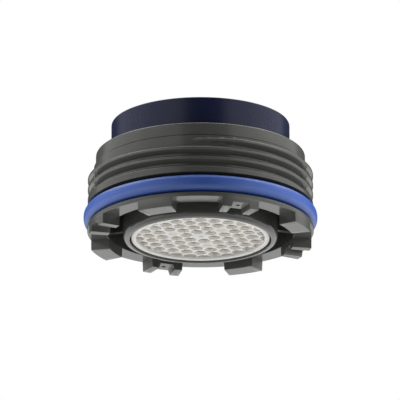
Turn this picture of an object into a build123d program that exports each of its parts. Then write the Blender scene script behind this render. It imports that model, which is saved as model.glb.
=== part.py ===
"""Recessed tap aerator: a threaded cartridge that screws up into a spout.

The axis is Z and the water runs downwards. The teeth of the key crown stand on the plane Z = 0.
All sizes are in millimetres and all angles in degrees, counted from +X towards +Y.
"""
import os
from math import cos, hypot, radians, sin

from build123d import *

os.makedirs("parts", exist_ok=True)

# Small round holes and studs are drawn with this many sides
small_hole_sides = 8

# Thread barrel, neck and collar of the housing
thread_diameter = 22.0
thread_length = 3.5
lead_in_height = 0.5
neck_step = 0.6
neck_height = 0.55
collar_step = 0.8
collar_height = 1.79
collar_wall = 1.42

# Sealing ring and its groove
seal_section = 1.6
seal_sides = 10
seal_stand_out = 0.4
seal_floor_clearance = 0.02
seal_lower_clearance = 0.3
seal_upper_clearance = 0.25

# Key crown: four block teeth and four forked teeth on a flat flange
flange_stand_out = 0.05
flange_thickness = 0.3
flange_edge = 0.12
crown_wall = 0.63
tooth_height = 1.0
block_angle = 18.6
fork_angle = 19.4
tooth_edge = 0.1
tooth_quarters = 4
block_direction = 66.0
fork_direction = 21.0
fork_notch_angle = 10.2
fork_notch_depth = 0.5
fork_notch_root = 0.15
gate_dimple_diameter = 0.5
gate_dimple_depth = 0.2

# Inner ring of the housing and the ribs that carry it
air_slot_width = 1.6
ring_wall = 0.45
ring_edge = 0.48
lip_bottom = 0.05
lip_thickness = 1.15
lip_depth = 0.2
rib_count = 8
rib_thickness = 0.6
rib_bottom = 2.0
air_gap = 1.0
mixing_headroom = 0.8

# Honeycomb outlet
outlet_clearance = 0.05
outlet_spigot_gap = 0.16
outlet_sink = 0.15
outlet_seat_height = 1.8
outlet_rim_wall = 0.44
cell_recess = 0.26
cell_pitch = 1.4
cell_wall = 0.3
cell_direction = 16.1
cell_sliver = 0.25
gate_nub_diameter = 0.36
gate_nub_height = 0.14

# Mixing grids
grid_thickness = 0.9
grid_rim_wall = 0.55
grid_bar_width = 0.55
grid_bar_pitch = 1.8
grid_clearance = 0.05

# Jet splitter cup, held in the housing by a foot that snaps in under a ledge
cup_stand_out = 3.14
cup_wall = 1.0
cup_edge = 0.2
cup_clearance = 0.08
jet_plate_thickness = 0.9
jet_diameter = 0.8
jet_margin = 1.0
outer_jet_count = 12
jet_row_gap = 1.9
inner_jet_count = 6
chamber_height = 0.8
regulator_ledge = 0.5
snap_ledge = 0.15
snap_foot_height = 0.8

# Flow regulator
regulator_thickness = 1.9
regulator_clearance = 0.05
regulator_floor = 0.5
regulator_section = 1.3
regulator_ring_diameter = 7.4
regulator_ring_clearance = 0.08
core_sides = 8
throat_length = 1.2
throat_width = 0.7

# Filter screen
screen_thickness = 0.6
screen_rim_wall = 0.6
screen_rim_height = 1.0
screen_clearance = 0.05
mesh_pitch = 1.95
mesh_bar = 0.5
screen_hub_diameter = 2.2
screen_hub_height = 0.5

# Radii
thread_r = thread_diameter / 2
neck_r = thread_r - neck_step
collar_r = thread_r - collar_step
flange_r = thread_r + flange_stand_out
seal_r = thread_r + seal_stand_out - seal_section / 2
groove_floor_r = seal_r - seal_section / 2 - seal_floor_clearance
crown_bore_r = groove_floor_r - crown_wall
ring_r = crown_bore_r - air_slot_width
ring_bore_r = ring_r - ring_wall
lip_bore_r = ring_bore_r - lip_depth
insert_bore_r = collar_r - collar_wall
cup_r = insert_bore_r - cup_clearance
foot_r = cup_r + snap_ledge
foot_bore_r = foot_r + cup_clearance
outlet_r = ring_bore_r - outlet_clearance
spigot_r = lip_bore_r - outlet_spigot_gap
cell_field_r = spigot_r - outlet_rim_wall
grid_r = ring_bore_r - grid_clearance
grid_field_r = grid_r - grid_rim_wall
cavity_r = cup_r - cup_wall
chamber_r = cavity_r - regulator_ledge
outer_jet_r = chamber_r - jet_margin
inner_jet_r = outer_jet_r - jet_row_gap
regulator_r = cavity_r - regulator_clearance
regulator_ring_r = regulator_ring_diameter / 2
channel_r = regulator_ring_r + regulator_section / 2 + regulator_ring_clearance
core_r = regulator_ring_r - regulator_section / 2 - regulator_ring_clearance
screen_r = cavity_r - screen_clearance
screen_field_r = screen_r - screen_rim_wall

# Heights above the teeth
groove_bottom = tooth_height + flange_thickness
seal_height = groove_bottom + seal_lower_clearance + seal_section / 2
groove_top = seal_height + seal_section / 2 + seal_upper_clearance
thread_top = groove_top + thread_length
neck_top = thread_top + neck_height
housing_top = thread_top + collar_height
shoulder = lip_bottom + lip_thickness
outlet_bottom = lip_bottom + outlet_sink
cell_face = outlet_bottom + cell_recess
outlet_top = shoulder + outlet_seat_height
lower_grid_bottom = outlet_top
upper_grid_bottom = lower_grid_bottom + grid_thickness
ring_top = upper_grid_bottom + grid_thickness + mixing_headroom
insert_seat = ring_top + air_gap
cup_top = housing_top + cup_stand_out
jet_plate_top = insert_seat + jet_plate_thickness
regulator_seat = jet_plate_top + chamber_height
regulator_top = regulator_seat + regulator_thickness
channel_floor = regulator_seat + regulator_floor
foot_top = insert_seat + snap_foot_height
ledge_bottom = foot_top + cup_clearance


def hexagon_centres(pitch, direction, reach):
    """Centres of a honeycomb about the axis, keyed by their steps along its two row directions."""
    step_u = (pitch * cos(radians(direction)), pitch * sin(radians(direction)))
    step_v = (pitch * cos(radians(direction + 60)), pitch * sin(radians(direction + 60)))
    rows = range(-int(2 * reach / pitch), int(2 * reach / pitch) + 1)
    centres = {
        (u, v): (u * step_u[0] + v * step_v[0], u * step_u[1] + v * step_v[1]) for u in rows for v in rows
    }
    return {key: centre for key, centre in centres.items() if hypot(*centre) < reach}


def tooth_outline(direction, spread):
    """Sector of the crown's flange that one tooth covers."""
    with BuildSketch(mode=Mode.PRIVATE) as sector:
        with BuildLine():
            outer = CenterArc((0, 0), flange_r, direction - spread / 2, spread)
            inner = CenterArc((0, 0), crown_bore_r, direction - spread / 2, spread)
            Line(outer @ 0, inner @ 0)
            Line(outer @ 1, inner @ 1)
        make_face()
    return sector.sketch


def widest_edge(level):
    """Widest round edge of the part in hand, at its foot (level 0) or at its top (level -1)."""
    return edges().filter_by(GeomType.CIRCLE).group_by(Axis.Z)[level].sort_by(SortBy.RADIUS)[-1]


# Block tooth, sunk into the flange that carries it
with BuildPart() as block_tooth:
    extrude(tooth_outline(block_direction, block_angle), amount=groove_bottom)
    chamfer(faces().sort_by(Axis.Z)[0].edges(), length=tooth_edge)

# Forked tooth: two prongs with an open notch between them, which holds a moulding gate
with BuildPart() as fork_tooth:
    extrude(tooth_outline(fork_direction, fork_angle), amount=groove_bottom)
    with BuildSketch():
        with BuildLine():
            notch_reach = 2 * flange_r
            left = PolarLine((0, 0), notch_reach, fork_direction - fork_notch_angle / 2)
            right = PolarLine((0, 0), notch_reach, fork_direction + fork_notch_angle / 2)
            Line(left @ 1, right @ 1)
        make_face()
    extrude(amount=fork_notch_depth, mode=Mode.SUBTRACT)
    notch_roots = edges().filter_by_position(Axis.Z, fork_notch_depth, fork_notch_depth)
    chamfer(notch_roots.filter_by(GeomType.LINE), length=fork_notch_root)
    chamfer(faces().filter_by(Axis.Z).group_by(Axis.Z)[0].edges(), length=tooth_edge)
    with BuildSketch(Plane.XY.offset(fork_notch_depth)):
        with PolarLocations((flange_r + crown_bore_r) / 2, 1, start_angle=fork_direction):
            RegularPolygon(gate_dimple_diameter / 2, small_hole_sides)
    extrude(amount=gate_dimple_depth, mode=Mode.SUBTRACT)

# Housing: threaded barrel, collar, key crown and the inner ring on its ribs, moulded in one
with BuildPart() as threaded_housing:
    with BuildSketch(Plane.XZ):
        with BuildLine():
            Polyline(
                (crown_bore_r, tooth_height),
                (flange_r, tooth_height),
                (flange_r, groove_bottom),
                (groove_floor_r, groove_bottom),
                (groove_floor_r, groove_top),
                (thread_r, groove_top),
                (thread_r, thread_top - lead_in_height),
                (neck_r, thread_top),
                (neck_r, neck_top),
                (collar_r, neck_top),
                (collar_r, housing_top),
                (insert_bore_r, housing_top),
                (insert_bore_r, ledge_bottom),
                (foot_bore_r, ledge_bottom),
                (foot_bore_r, insert_seat),
                (crown_bore_r, insert_seat),
                close=True,
            )
        make_face()
    revolve(axis=Axis.Z)
    chamfer(widest_edge(0), length=flange_edge)
    with BuildSketch(Plane.XZ):
        with BuildLine():
            Polyline(
                (lip_bore_r, lip_bottom),
                (ring_r, lip_bottom),
                (ring_r, ring_top),
                (ring_bore_r, ring_top),
                (ring_bore_r, shoulder),
                (lip_bore_r, shoulder),
                close=True,
            )
        section = make_face()
        chamfer(section.vertices().group_by(Axis.Y)[0].sort_by(Axis.X)[-1], length=ring_edge)
    revolve(axis=Axis.Z)
    with BuildSketch(Plane.XY.offset(rib_bottom)):
        rib_start = ring_r - ring_wall / 2
        rib_end = (crown_bore_r + groove_floor_r) / 2
        with PolarLocations((rib_start + rib_end) / 2, rib_count, start_angle=fork_direction):
            Rectangle(rib_end - rib_start, rib_thickness)
    extrude(amount=insert_seat - rib_bottom)
    with PolarLocations(0, tooth_quarters):
        add(block_tooth.part)
        add(fork_tooth.part)
threaded_housing.part.label = "threaded_housing"
export_step(threaded_housing.part, "parts/threaded_housing.step")

# Sealing ring in the groove under the thread
with BuildPart() as seal_ring:
    with BuildSketch(Plane.XZ):
        with Locations((seal_r, seal_height)):
            RegularPolygon(seal_section / 2, seal_sides)
    revolve(axis=Axis.Z)
seal_ring.part.label = "seal_ring"
export_step(seal_ring.part, "parts/seal_ring.step")

# Honeycomb outlet: a rimmed spigot that hangs through the lip of the inner ring
blank_cells = [(0, 0), (0, 2), (-2, 0), (2, -2)]
cell_apothem = (cell_pitch - cell_wall) / 2
cell_centres = hexagon_centres(cell_pitch, cell_direction, cell_field_r + cell_apothem - cell_sliver)
open_cells = [centre for key, centre in cell_centres.items() if key not in blank_cells]
with BuildPart() as honeycomb_outlet:
    with BuildSketch(Plane.XZ):
        with BuildLine():
            Polyline(
                (0, cell_face),
                (cell_field_r, cell_face),
                (cell_field_r, outlet_bottom),
                (spigot_r, outlet_bottom),
                (spigot_r, shoulder),
                (outlet_r, shoulder),
                (outlet_r, outlet_top),
                (0, outlet_top),
                close=True,
            )
        make_face()
    revolve(axis=Axis.Z)
    with BuildSketch(Plane.XY.offset(cell_face)):
        with Locations(*open_cells):
            RegularPolygon(cell_apothem, 6, major_radius=False, rotation=cell_direction + 30)
        Circle(cell_field_r, mode=Mode.INTERSECT)
    extrude(amount=outlet_top - cell_face, mode=Mode.SUBTRACT)
    with BuildSketch(Plane.XY.offset(cell_face)):
        RegularPolygon(gate_nub_diameter / 2, small_hole_sides)
    extrude(amount=-gate_nub_height)
honeycomb_outlet.part.label = "honeycomb_outlet"
export_step(honeycomb_outlet.part, "parts/honeycomb_outlet.step")

# Mixing grids: two rimmed discs of bars, the upper one turned across the lower
grids = {"mixing_grid_lower": (lower_grid_bottom, 0), "mixing_grid_upper": (upper_grid_bottom, 90)}
for grid_name, (grid_bottom, grid_turn) in grids.items():
    with BuildPart() as mixing_grid:
        with BuildSketch(Plane.XY.offset(grid_bottom)):
            Circle(grid_r)
        extrude(amount=grid_thickness)
        with BuildSketch(Plane.XY.offset(grid_bottom).rotated((0, 0, grid_turn))):
            Circle(grid_field_r)
            with GridLocations(grid_bar_pitch, 0, int(2 * grid_field_r / grid_bar_pitch), 1):
                Rectangle(grid_bar_width, 2 * grid_r, mode=Mode.SUBTRACT)
        extrude(amount=grid_thickness, mode=Mode.SUBTRACT)
    mixing_grid.part.label = grid_name
    export_step(mixing_grid.part, f"parts/{grid_name}.step")

# Jet splitter: a cup on the ribs, with a floor that breaks the water into jets
with BuildPart() as jet_splitter:
    with BuildSketch(Plane.XZ):
        with BuildLine():
            Polyline(
                (0, insert_seat),
                (foot_r, insert_seat),
                (foot_r, foot_top),
                (cup_r, foot_top),
                (cup_r, cup_top),
                (cavity_r, cup_top),
                (cavity_r, regulator_seat),
                (chamber_r, regulator_seat),
                (chamber_r, jet_plate_top),
                (0, jet_plate_top),
                close=True,
            )
        make_face()
    revolve(axis=Axis.Z)
    chamfer(widest_edge(-1), length=cup_edge)
    with BuildSketch(Plane.XY.offset(insert_seat)):
        with PolarLocations(outer_jet_r, outer_jet_count):
            RegularPolygon(jet_diameter / 2, small_hole_sides)
        with PolarLocations(inner_jet_r, inner_jet_count):
            RegularPolygon(jet_diameter / 2, small_hole_sides)
    extrude(amount=jet_plate_thickness, mode=Mode.SUBTRACT)
jet_splitter.part.label = "jet_splitter"
export_step(jet_splitter.part, "parts/jet_splitter.step")

# Flow regulator body: a disc with an annular channel round a faceted core
with BuildPart() as regulator_body:
    with BuildSketch(Plane.XY.offset(regulator_seat)):
        Circle(regulator_r)
    extrude(amount=regulator_thickness)
    with BuildSketch(Plane.XY.offset(channel_floor)):
        Circle(channel_r)
        RegularPolygon(core_r, core_sides, mode=Mode.SUBTRACT)
    extrude(amount=regulator_top - channel_floor, mode=Mode.SUBTRACT)
    with BuildSketch(Plane.XY.offset(regulator_seat)):
        with PolarLocations(regulator_ring_r, core_sides):
            Rectangle(throat_length, throat_width)
    extrude(amount=regulator_floor, mode=Mode.SUBTRACT)
regulator_body.part.label = "regulator_body"
export_step(regulator_body.part, "parts/regulator_body.step")

# Elastic ring that narrows the channel as the pressure rises
with BuildPart() as regulator_ring:
    with BuildSketch(Plane.XZ):
        with Locations((regulator_ring_r, channel_floor + regulator_section / 2)):
            Rectangle(regulator_section, regulator_section)
    revolve(axis=Axis.Z)
regulator_ring.part.label = "regulator_ring"
export_step(regulator_ring.part, "parts/regulator_ring.step")

# Filter screen: a rimmed mesh with a hub to lift it by
mesh_apothem = (mesh_pitch - mesh_bar) / 2
mesh_reach = screen_field_r - mesh_apothem
hub_reach = screen_hub_diameter / 2 + mesh_apothem
mesh_centres = hexagon_centres(mesh_pitch, 0, mesh_reach).values()
mesh_windows = [centre for centre in mesh_centres if hypot(*centre) > hub_reach]
with BuildPart() as filter_screen:
    with BuildSketch(Plane.XY.offset(regulator_top)):
        Circle(screen_r)
    extrude(amount=screen_thickness)
    with BuildSketch(Plane.XY.offset(regulator_top)):
        Circle(screen_r)
        Circle(screen_field_r, mode=Mode.SUBTRACT)
    extrude(amount=screen_rim_height)
    with BuildSketch(Plane.XY.offset(regulator_top)):
        with Locations(*mesh_windows):
            RegularPolygon(mesh_apothem, 6, major_radius=False, rotation=30)
    extrude(amount=screen_thickness, mode=Mode.SUBTRACT)
    with BuildSketch(Plane.XY.offset(regulator_top + screen_thickness)):
        RegularPolygon(screen_hub_diameter / 2, small_hole_sides)
    extrude(amount=screen_hub_height)
filter_screen.part.label = "filter_screen"
export_step(filter_screen.part, "parts/filter_screen.step")
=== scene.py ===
"""Looks of the tap aerator: its mouldings, finishes, studio and camera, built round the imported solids.

The classes hold their sizes in millimetres, heights counted up from the lower faces of the crown's teeth
and angles in degrees from +X towards +Y. Each finished mesh is scaled to the frame's metres.
"""
import logging
import math
from dataclasses import dataclass
from enum import Enum
from itertools import zip_longest
from typing import Optional, Sequence, Union

import bpy
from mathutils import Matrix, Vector


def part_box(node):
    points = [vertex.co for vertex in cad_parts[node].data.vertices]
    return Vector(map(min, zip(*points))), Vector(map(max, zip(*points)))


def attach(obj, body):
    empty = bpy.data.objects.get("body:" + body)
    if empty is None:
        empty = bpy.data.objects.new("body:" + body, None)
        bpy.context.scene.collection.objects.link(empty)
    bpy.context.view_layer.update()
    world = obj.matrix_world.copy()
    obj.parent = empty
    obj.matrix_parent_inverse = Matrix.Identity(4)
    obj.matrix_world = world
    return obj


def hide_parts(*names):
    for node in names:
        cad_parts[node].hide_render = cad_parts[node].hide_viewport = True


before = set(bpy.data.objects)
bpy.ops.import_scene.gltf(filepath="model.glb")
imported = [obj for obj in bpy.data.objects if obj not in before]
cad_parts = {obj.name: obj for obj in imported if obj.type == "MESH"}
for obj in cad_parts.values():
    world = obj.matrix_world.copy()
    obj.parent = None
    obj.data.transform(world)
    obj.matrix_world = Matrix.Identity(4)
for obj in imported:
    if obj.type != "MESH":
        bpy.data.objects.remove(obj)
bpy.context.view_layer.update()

METRES_PER_MM = 0.001
BODY = "root"
LOG = logging.getLogger("tap_aerator")

# Angle of the side that faces the viewer
FRONT = 270.0
# How far a cutting tool reaches past the piece that it cuts
TOOL_MARGIN = 1.0

Colour = tuple[float, float, float]
Span = tuple[float, float]
Number = Union["Reading", float]
Tint = Union["Reading", Colour]


class ThreadHand(Enum):
    """Way in which the ridge climbs round the barrel."""

    RIGHT = 1
    LEFT = -1


class Join(Enum):
    """What a boolean step does with its tool."""

    ADD = "UNION"
    CUT = "DIFFERENCE"
    KEEP = "INTERSECT"


def smooth_step(value: float) -> float:
    """Eases a share from 0 to 1, held at both ends."""
    share = min(1.0, max(0.0, value))
    return share * share * (3 - 2 * share)


def polar(radius: float, angle: float, height: float = 0.0) -> Vector:
    """Point at a radius, an angle in degrees and a height."""
    turn = math.radians(angle)
    return Vector((radius * math.cos(turn), radius * math.sin(turn), height))


def spread(count: int, start: float = 0.0) -> list[float]:
    """Angles that share out a full turn."""
    return [start + 360 / count * index for index in range(count)]


@dataclass(frozen=True)
class Corner:
    """Corner of a turned section.

    Attributes:
        radius: Distance from the axis.
        height: Height above the teeth.
        rounding: Setback of the rounded edge along both sides.
    """

    radius: float
    height: float
    rounding: float = 0.0

    def place(self) -> Vector:
        """Corner as a point in the XZ plane."""
        return Vector((self.radius, 0.0, self.height))


class Bench:
    """Modelling steps that the pieces share, each done with Blender's own operators."""

    ROUND_STEPS = 4
    SEGMENTS = 192
    MERGE_DISTANCE = 0.0005
    EDGE_STEPS = 3
    EDGE_ANGLE = math.radians(40)
    SMOOTH_ANGLE = math.radians(32)

    @staticmethod
    def clear() -> None:
        """Deselects every object."""
        if bpy.context.object and bpy.context.object.mode != "OBJECT":
            bpy.ops.object.mode_set(mode="OBJECT")
        bpy.ops.object.select_all(action="DESELECT")

    @staticmethod
    def pick(piece: bpy.types.Object) -> None:
        """Makes one object the only selected and the active one."""
        Bench.clear()
        piece.select_set(True)
        bpy.context.view_layer.objects.active = piece

    @staticmethod
    def rounded(corners: Sequence[Corner], closed: bool) -> list[Vector]:
        """Points of a section with its edges rounded.

        Args:
            corners: Corners in order round the section.
            closed: Whether the last corner joins the first.

        Returns:
            Points in the XZ plane, in the same order.
        """
        points: list[Vector] = []
        for index, corner in enumerate(corners):
            here = corner.place()
            is_end = not closed and index in (0, len(corners) - 1)
            if is_end or corner.rounding == 0:
                points.append(here)
                continue
            before = corners[index - 1].place() - here
            after = corners[(index + 1) % len(corners)].place() - here
            start = before.normalized() * corner.rounding
            end = after.normalized() * corner.rounding
            for step in range(Bench.ROUND_STEPS + 1):
                share = step / Bench.ROUND_STEPS
                points.append(here + start * (1 - share) ** 2 + end * share ** 2)
        return points

    @staticmethod
    def wire(name: str, points: Sequence[Vector]) -> bpy.types.Object:
        """Draws a line from point to point by extruding a single vertex, and stays in edit mode.

        Args:
            name: Name of the new object.
            points: Corners of the line.

        Returns:
            The new object.
        """
        Bench.clear()
        bpy.ops.mesh.primitive_plane_add(size=1)
        piece = bpy.context.object
        piece.name = name
        bpy.ops.object.mode_set(mode="EDIT")
        bpy.ops.mesh.select_all(action="SELECT")
        bpy.ops.mesh.merge(type="CENTER")
        bpy.ops.transform.translate(value=points[0])
        for start, end in zip(points, points[1:]):
            bpy.ops.mesh.extrude_region_move(TRANSFORM_OT_translate={"value": end - start})
        return piece

    @staticmethod
    def tidy() -> None:
        """Merges doubles and turns the faces of the mesh in edit mode outwards, then leaves edit mode."""
        bpy.ops.mesh.select_all(action="SELECT")
        bpy.ops.mesh.remove_doubles(threshold=Bench.MERGE_DISTANCE)
        bpy.ops.mesh.normals_make_consistent(inside=False)
        bpy.ops.object.mode_set(mode="OBJECT")

    @staticmethod
    def turn(name: str, corners: Sequence[Corner], segments: int = SEGMENTS) -> bpy.types.Object:
        """Turns a section about the axis. A section that starts on the axis also ends there.

        Args:
            name: Name of the new object.
            corners: Corners of the section.
            segments: Steps round the axis.

        Returns:
            A closed solid of revolution.
        """
        closed = corners[0].radius > 0
        outline = Bench.rounded(corners, closed)
        piece = Bench.wire(name, outline + outline[:1] if closed else outline)
        bpy.ops.mesh.select_all(action="SELECT")
        bpy.ops.mesh.spin(steps=segments, angle=math.tau, center=(0, 0, 0), axis=(0, 0, 1))
        Bench.tidy()
        return piece

    @staticmethod
    def rod(name: str, radius: float, bottom: float, top: float) -> bpy.types.Object:
        """Plain round rod on the axis, from a lower to an upper height."""
        ends = (Corner(0, bottom), Corner(radius, bottom), Corner(radius, top), Corner(0, top))
        return Bench.turn(name, ends)

    @staticmethod
    def apply(piece: bpy.types.Object, modifier: bpy.types.Modifier) -> None:
        """Applies one modifier of a piece."""
        Bench.pick(piece)
        bpy.ops.object.modifier_apply(modifier=modifier.name)

    @staticmethod
    def combine(piece: bpy.types.Object, tool: bpy.types.Object, join: Join) -> None:
        """Joins a tool solid to a piece, or cuts the piece with it, and removes the tool.

        Args:
            piece: Solid that is kept.
            tool: Solid that is used up.
            join: What the tool does.
        """
        modifier = piece.modifiers.new("combine", "BOOLEAN")
        modifier.solver = "MANIFOLD"
        modifier.operation = join.value
        modifier.object = tool
        Bench.apply(piece, modifier)
        bpy.data.objects.remove(tool, do_unlink=True)

    @staticmethod
    def soften(piece: bpy.types.Object, width: float, steps: int = EDGE_STEPS) -> None:
        """Rounds the sharp edges of a piece.

        Args:
            piece: Solid with plain edges.
            width: Width of the rounding.
            steps: Facets across it.
        """
        modifier = piece.modifiers.new("soften", "BEVEL")
        modifier.limit_method = "ANGLE"
        modifier.angle_limit = Bench.EDGE_ANGLE
        modifier.width = width
        modifier.segments = steps
        Bench.apply(piece, modifier)

    @staticmethod
    def copies(model: bpy.types.Object, places: Sequence[Vector] = (),
               turns: Sequence[float] = ()) -> bpy.types.Object:
        """Copies a solid to several places or round the axis and joins the copies. The model is used up.

        Args:
            model: Solid that is repeated.
            places: Shift of each copy, none if they only turn.
            turns: Turn of each copy about the axis, none if they only shift.

        Returns:
            One object with all the copies, at the origin.
        """
        made = []
        for place, turn in zip_longest(places, turns):
            copy = model.copy()
            copy.data = model.data.copy()
            bpy.context.scene.collection.objects.link(copy)
            copy.rotation_euler.z = math.radians(turn or 0.0)
            copy.location = place or Vector()
            made.append(copy)
        Bench.clear()
        for copy in made:
            copy.select_set(True)
        bpy.context.view_layer.objects.active = made[0]
        bpy.ops.object.transform_apply(location=True, rotation=True, scale=True)
        if len(made) > 1:
            bpy.ops.object.join()
        bpy.data.objects.remove(model, do_unlink=True)
        return bpy.context.object

    @staticmethod
    def sector(name: str, section: Sequence[Corner], direction: float, width: float,
               draft: float) -> bpy.types.Object:
        """Cuts a sector out of a turned ring.

        Args:
            name: Name of the new object.
            section: Corners of the ring's section.
            direction: Angle of the sector's middle.
            width: Angle that it covers at height 0.
            draft: Lean of its two ends, in degrees, wider upwards.

        Returns:
            The closed sector.
        """
        piece = Bench.turn(name, section)
        bpy.ops.object.mode_set(mode="EDIT")
        lean = math.radians(draft)
        for side in (-1, 1):
            end = direction + side * width / 2
            across = polar(1.0, end + side * 90) * math.cos(lean) - Vector((0, 0, math.sin(lean)))
            bpy.ops.mesh.select_all(action="SELECT")
            bpy.ops.mesh.bisect(plane_co=polar(section[0].radius, end), plane_no=across, use_fill=True,
                                clear_outer=True)
        Bench.tidy()
        return piece

    @staticmethod
    def finish(piece: bpy.types.Object, finish: "Finish", *nodes: str) -> None:
        """Scales a piece to the frame, dresses it and hands it to the frame.

        Args:
            piece: Finished mesh in millimetres.
            finish: Its surface.
            nodes: Solids of the frame that it stands for.
        """
        Bench.pick(piece)
        piece.scale = (METRES_PER_MM,) * 3
        bpy.ops.object.transform_apply(location=True, rotation=True, scale=True)
        bpy.ops.object.shade_smooth_by_angle(angle=Bench.SMOOTH_ANGLE)
        weighted = piece.modifiers.new("weighted", "WEIGHTED_NORMAL")
        weighted.keep_sharp = True
        Bench.apply(piece, weighted)
        piece.data.materials.clear()
        piece.data.materials.append(finish.material())
        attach(piece, BODY)
        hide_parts(*nodes)
        LOG.info("%s: %d faces", piece.name, len(piece.data.polygons))


class Reading:
    """Output of a node, which takes part in plain arithmetic."""

    def __init__(self, sheet: "NodeSheet", socket: bpy.types.NodeSocket) -> None:
        """Keeps the socket and the tree that it belongs to."""
        self.sheet = sheet
        self.socket = socket

    def _math(self, operation: str, left: Number, right: Number) -> "Reading":
        """Adds a Math node for two values."""
        return self.sheet.node("ShaderNodeMath", {0: left, 1: right}, operation=operation)["Value"]

    def __add__(self, other: Number) -> "Reading":
        """Sum of two values."""
        return self._math("ADD", self, other)

    def __radd__(self, other: Number) -> "Reading":
        """Sum with a number on the left."""
        return self._math("ADD", other, self)

    def __sub__(self, other: Number) -> "Reading":
        """Difference of two values."""
        return self._math("SUBTRACT", self, other)

    def __rsub__(self, other: Number) -> "Reading":
        """Difference from a number on the left."""
        return self._math("SUBTRACT", other, self)

    def __mul__(self, other: Number) -> "Reading":
        """Product of two values."""
        return self._math("MULTIPLY", self, other)

    def __rmul__(self, other: Number) -> "Reading":
        """Product with a number on the left."""
        return self._math("MULTIPLY", other, self)

    def between(self, low: float, high: float) -> "Reading":
        """Smooth share from 0 at the low value to 1 at the high one."""
        sockets = {"Value": self, "From Min": low, "From Max": high}
        return self.sheet.node("ShaderNodeMapRange", sockets, interpolation_type="SMOOTHSTEP")["Result"]


class PlacedNode:
    """A node whose outputs are read by name."""

    def __init__(self, sheet: "NodeSheet", node: bpy.types.Node) -> None:
        """Keeps the node and its tree."""
        self.sheet = sheet
        self.node = node

    def __getitem__(self, output: str) -> Reading:
        """Output of that name, the first that is in use."""
        found = [socket for socket in self.node.outputs if socket.name == output and socket.enabled]
        return Reading(self.sheet, found[0])


class NodeSheet:
    """Node tree of a material or of the world, emptied and built up node by node."""

    def __init__(self, tree: bpy.types.NodeTree) -> None:
        """Empties the tree."""
        self.tree = tree
        self.tree.nodes.clear()

    def node(self, kind: str, inputs: Optional[dict] = None, **settings: object) -> PlacedNode:
        """Adds a node.

        Args:
            kind: Type name of the node.
            inputs: Number, colour or reading for each input, by name or place.
            settings: Properties of the node, set before its inputs.

        Returns:
            The new node.
        """
        node = self.tree.nodes.new(kind)
        for name, value in settings.items():
            setattr(node, name, value)
        for key, value in (inputs or {}).items():
            same = [s for s in node.inputs if s.name == key and s.enabled] if isinstance(key, str) else []
            socket = same[0] if same else node.inputs[key]
            if isinstance(value, Reading):
                self.tree.links.new(value.socket, socket)
            elif socket.type == "RGBA":
                socket.default_value = (*value, 1.0)
            else:
                socket.default_value = value
        return PlacedNode(self, node)

    def blend(self, share: Number, start: Tint, end: Tint) -> Reading:
        """Mixes two colours by a share."""
        sockets = {"Factor": share, "A": start, "B": end}
        return self.node("ShaderNodeMix", sockets, data_type="RGBA")["Result"]

    def noise(self, place: Reading, size: float, detail: float) -> Reading:
        """Cloudy pattern with patches of a size in millimetres."""
        sockets = {"Vector": place, "Scale": 1 / (size * METRES_PER_MM), "Detail": detail}
        return self.node("ShaderNodeTexNoise", sockets)["Fac"]


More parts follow.
